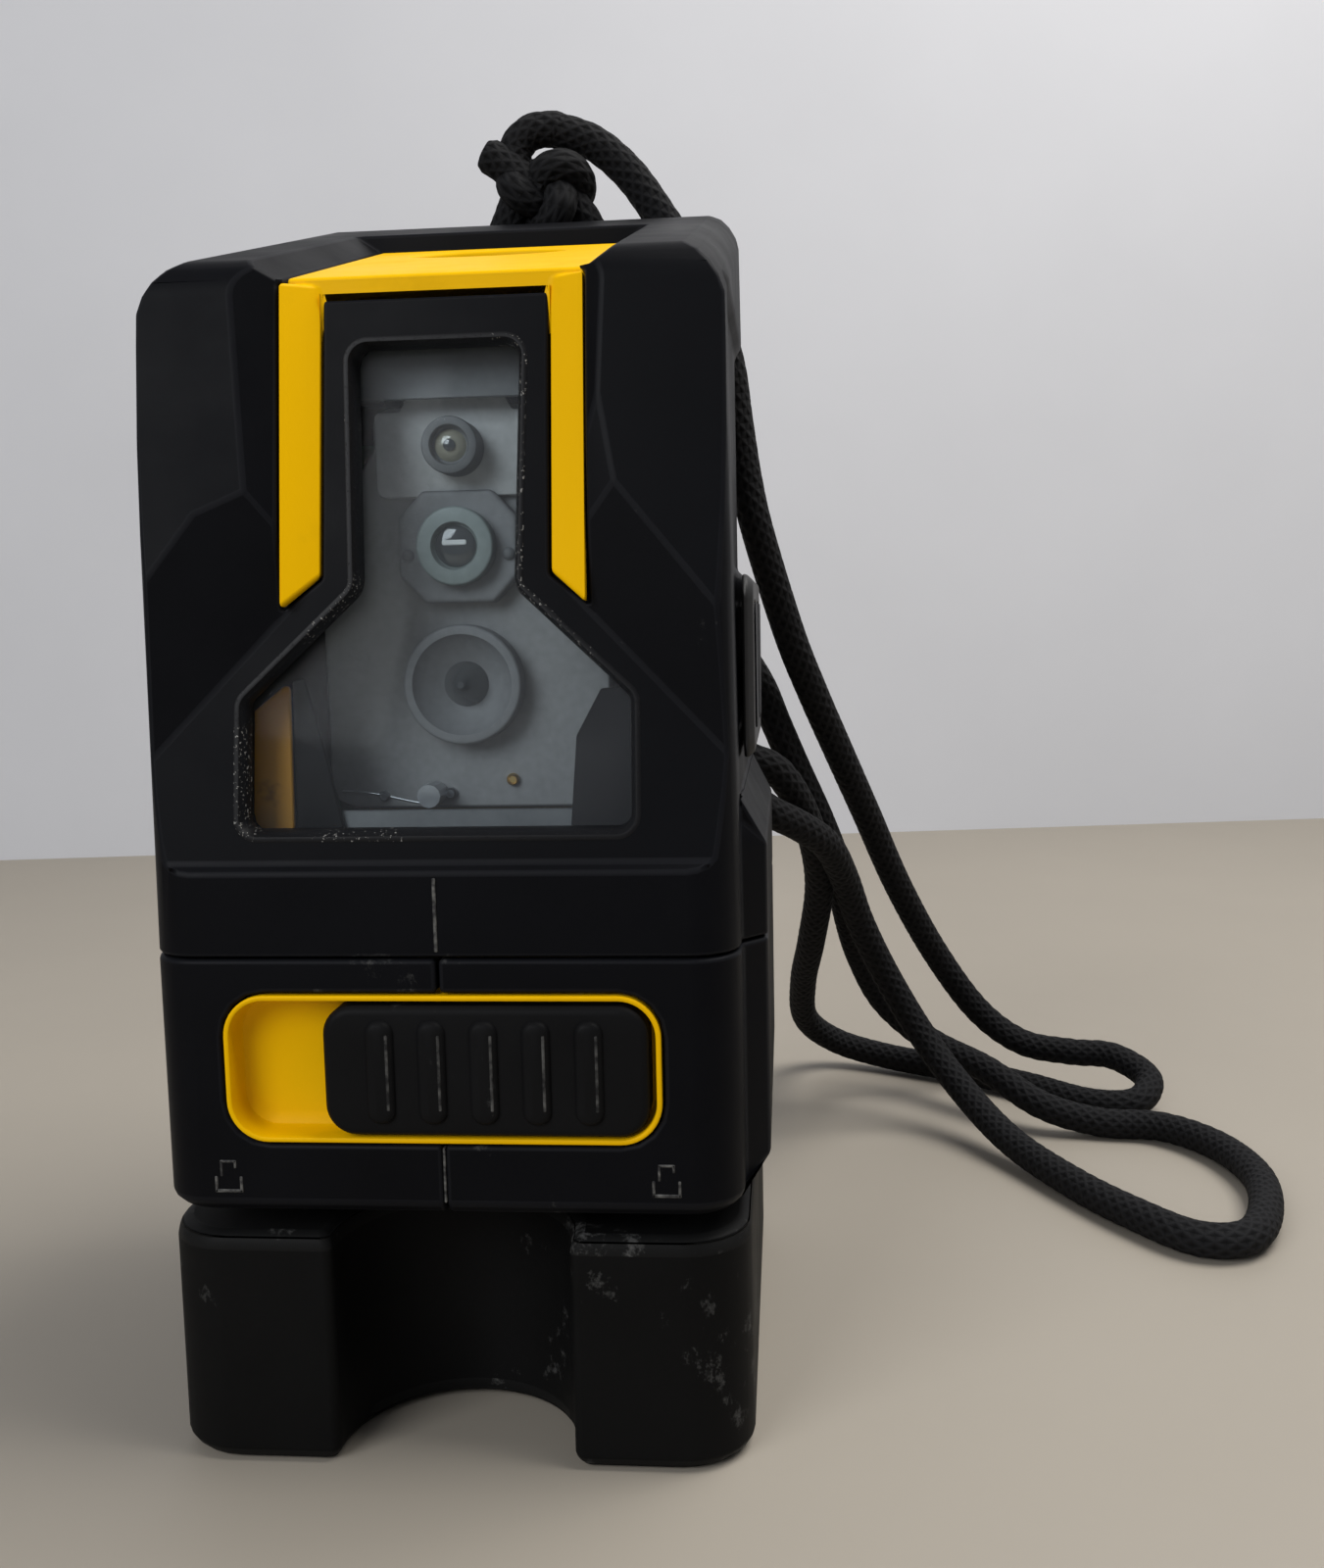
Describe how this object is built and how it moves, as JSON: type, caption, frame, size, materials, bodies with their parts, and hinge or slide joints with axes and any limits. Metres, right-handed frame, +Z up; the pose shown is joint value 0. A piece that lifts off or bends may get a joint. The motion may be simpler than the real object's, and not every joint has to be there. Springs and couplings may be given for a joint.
{
  "type": "laser level",
  "caption": "Self-levelling cross-line laser level on a turning pivot base, with a power and lock slider, side keypad, rear battery door and a corded lanyard.",
  "frame": {"origin": "centre of the footprint on the floor, under the level without its cord", "axes": "+X the level's right side as it faces away from a viewer in front, +Y its back, +Z up; the head turns about a vertical axis 0 mm from the origin"},
  "size_m": [0.1625, 0.1641, 0.1831],
  "materials": {
    "black_rubber": "satin black overmould, scuffed at the corners",
    "black_plastic": "fine satin black",
    "yellow_plastic": "satin golden yellow",
    "window_glass": "clear, polished",
    "lens_glass": "polished, warm coating",
    "grey_metal": "blasted die casting",
    "steel": "plated",
    "brass": "machined",
    "board_green": "solder mask",
    "cell_sleeve": "printed sleeve without print",
    "braid": "braided cord"
  },
  "bodies": {
    "base": {"pivot_base": "black_rubber", "base_plate": "steel", "thread_quarter_inch": "brass", "thread_five_eighths": "brass", "magnet_left": "steel", "magnet_right": "steel", "pivot_post": "steel", "pivot_washer": "steel", "pivot_nut": "steel"},
    "head": {"lower_housing_left": "black_rubber", "lower_housing_right": "black_rubber", "upper_housing": "black_rubber", "yellow_bezel": "yellow_plastic", "window_glass": "window_glass", "window_gasket": "black_rubber", "up_beam_window": "lens_glass", "slider_tray": "yellow_plastic", "side_pad_left": "black_plastic", "keypad_frame": "black_plastic", "battery_tray": "black_plastic", "battery_cell_1": "cell_sleeve", "battery_cell_2": "cell_sleeve", "battery_cell_3": "cell_sleeve", "contact_plate_low": "steel", "contact_plate_high": "steel", "circuit_board": "board_green", "door_hinge_pin": "steel", "lanyard_lug": "black_plastic", "gimbal_yoke": "grey_metal", "lanyard_cord": "braid", "lanyard_knot": "braid", "lanyard_hitch": "braid"},
    "slider": {"power_slider": "black_rubber", "lock_cam": "black_plastic"},
    "lock": {"lock_lever": "black_plastic"},
    "gimbal": {"gimbal_ring": "brass"},
    "pendulum": {"pendulum_chassis": "grey_metal", "upper_laser_barrel": "grey_metal", "upper_laser_lens": "lens_glass", "line_laser_housing": "grey_metal", "line_laser_lens": "lens_glass", "cross_laser_cup": "grey_metal", "cross_laser_lens": "lens_glass", "balance_weight": "brass", "trim_screw": "steel"},
    "battery_door": {"battery_door": "black_rubber"},
    "button_front": {"mode_button_front": "black_rubber"},
    "button_back": {"mode_button_back": "black_rubber"}
  },
  "joints": [
    {"name": "head_swivel", "type": "hinge", "parent": "base", "child": "head", "pos_m": [0, 0, 0.031], "axis": [0, 0, 1], "continuous": true},
    {"name": "power_slide", "type": "slide", "parent": "head", "child": "slider", "axis": [-1, 0, 0], "range_m": [0, 0.0104]},
    {"name": "lock_lift", "type": "slide", "parent": "head", "child": "lock", "axis": [0, 0, 1], "range_m": [0, 0.003]},
    {"name": "gimbal_pitch", "type": "hinge", "parent": "head", "child": "gimbal", "pos_m": [0, -0.012, 0.1347], "axis": [1, 0, 0], "range_deg": [-4, 4]},
    {"name": "gimbal_roll", "type": "hinge", "parent": "gimbal", "child": "pendulum", "pos_m": [0, -0.012, 0.1347], "axis": [0, 1, 0], "range_deg": [-4, 4]},
    {"name": "battery_door_hinge", "type": "hinge", "parent": "head", "child": "battery_door", "pos_m": [0, 0.0356, 0.07], "axis": [-1, 0, 0], "range_deg": [0, 90]},
    {"name": "button_front_press", "type": "slide", "parent": "head", "child": "button_front", "axis": [-1, 0, 0], "range_m": [0, 0.0006], "stiffness_N_per_m": 400},
    {"name": "button_back_press", "type": "slide", "parent": "head", "child": "button_back", "axis": [-1, 0, 0], "range_m": [0, 0.0006], "stiffness_N_per_m": 400}
  ],
  "couplings": [
    {"joint": "lock_lift", "follows": "power_slide", "ratio": 0.28}
  ]
}
